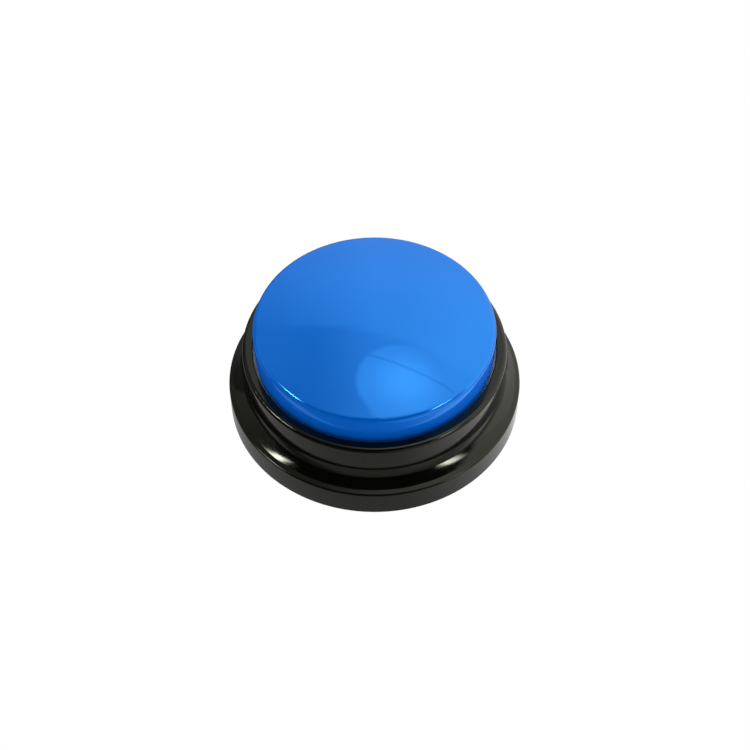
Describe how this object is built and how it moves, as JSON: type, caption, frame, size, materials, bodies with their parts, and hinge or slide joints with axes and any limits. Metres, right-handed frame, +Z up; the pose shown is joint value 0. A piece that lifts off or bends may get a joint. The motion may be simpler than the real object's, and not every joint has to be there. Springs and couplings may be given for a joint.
{
  "type": "quiz buzzer",
  "caption": "Round table-top quiz buzzer with a domed blue push button in a stepped black sound housing, battery door and record button below.",
  "frame": {"origin": "centre of the circle through the feet, on the table surface", "axes": "+Z up out of the table along the button's travel axis, -Y towards the battery side (front), +X to the right seen from the front"},
  "size_m": [0.09, 0.09, 0.0398],
  "materials": {
    "housing_black": "high-gloss black moulded ABS",
    "cover_black": "fine-textured black moulded ABS",
    "button_blue": "high-gloss blue moulded ABS",
    "carrier_white": "plain white moulded ABS",
    "rubber_dark": "soft matt rubber",
    "screw_steel": "zinc-plated steel",
    "spring_steel": "drawn spring wire",
    "contact_nickel": "nickel-plated spring steel",
    "board_green": "glass-fibre board with green solder mask",
    "switch_black": "moulded switch body",
    "switch_stem": "moulded switch stem",
    "record_red": "gloss red moulded button",
    "epoxy_black": "black potting epoxy over a bare chip",
    "capacitor_sleeve": "dark shrink sleeve",
    "resistor_black": "surface-mount ceramic chips",
    "microphone_can": "pressed aluminium can",
    "speaker_steel": "pressed steel basket",
    "speaker_magnet": "ferrite magnet",
    "speaker_paper": "black pulp cone",
    "lead_red": "soft PVC insulation",
    "lead_black": "soft PVC insulation",
    "cell_jacket": "plain printed battery jacket",
    "foam_grey": "thin closed-cell foam"
  },
  "bodies": {
    "base": {"upper_housing": "housing_black", "bottom_cover": "cover_black", "case_screws": "screw_steel", "rubber_foot_1": "rubber_dark", "rubber_foot_2": "rubber_dark", "rubber_foot_3": "rubber_dark", "rubber_foot_4": "rubber_dark", "circuit_board": "board_green", "board_screws": "screw_steel", "press_switch_body": "switch_black", "record_switch_body": "switch_black", "sound_chip": "epoxy_black", "capacitor": "capacitor_sleeve", "chip_resistors": "resistor_black", "microphone": "microphone_can", "speaker_frame": "speaker_steel", "speaker_magnet": "speaker_magnet", "speaker_cone": "speaker_paper", "speaker_lead_red": "lead_red", "speaker_lead_black": "lead_black", "microphone_lead_red": "lead_red", "microphone_lead_black": "lead_black", "battery_cell_1": "cell_jacket", "battery_cell_2": "cell_jacket", "contact_link_plate": "contact_nickel", "contact_positive": "contact_nickel", "contact_negative_plate": "contact_nickel", "contact_link_spring": "spring_steel", "contact_negative_spring": "spring_steel"},
    "button": {"button_cap": "button_blue", "button_carrier": "carrier_white", "press_pad": "rubber_dark", "carrier_screws": "screw_steel", "button_spring_1": "spring_steel", "button_spring_2": "spring_steel", "button_spring_3": "spring_steel"},
    "press_plunger": {"press_switch_plunger": "switch_stem"},
    "record_button": {"record_button": "record_red"},
    "record_plunger": {"record_switch_plunger": "switch_stem"},
    "battery_door": {"battery_door": "cover_black", "door_screw": "screw_steel", "door_pad": "foam_grey"}
  },
  "joints": [
    {"name": "button_press", "type": "slide", "parent": "base", "child": "button", "axis": [0, 0, -1], "range_m": [0, 0.0035], "stiffness_N_per_m": 500, "springref_m": -0.004, "deforming": ["button_spring_1", "button_spring_2", "button_spring_3"]},
    {"name": "press_switch_stroke", "type": "slide", "parent": "base", "child": "press_plunger", "axis": [0, 0, -1], "range_m": [0, 0.0004]},
    {"name": "record_press", "type": "slide", "parent": "base", "child": "record_button", "axis": [0, 0, 1], "range_m": [0, 0.001], "stiffness_N_per_m": 300, "springref_m": -0.002},
    {"name": "record_switch_stroke", "type": "slide", "parent": "base", "child": "record_plunger", "axis": [0, 0, 1], "range_m": [0, 0.00035]},
    {"name": "battery_door_hinge", "type": "hinge", "parent": "base", "child": "battery_door", "pos_m": [0, -0.0032, 0.0008], "axis": [1, 0, 0], "range_deg": [0, 80]}
  ],
  "couplings": [
    {"joint": "press_switch_stroke", "follows": "button_press", "ratio": 0.085714},
    {"joint": "record_switch_stroke", "follows": "record_press", "ratio": 0.25}
  ]
}
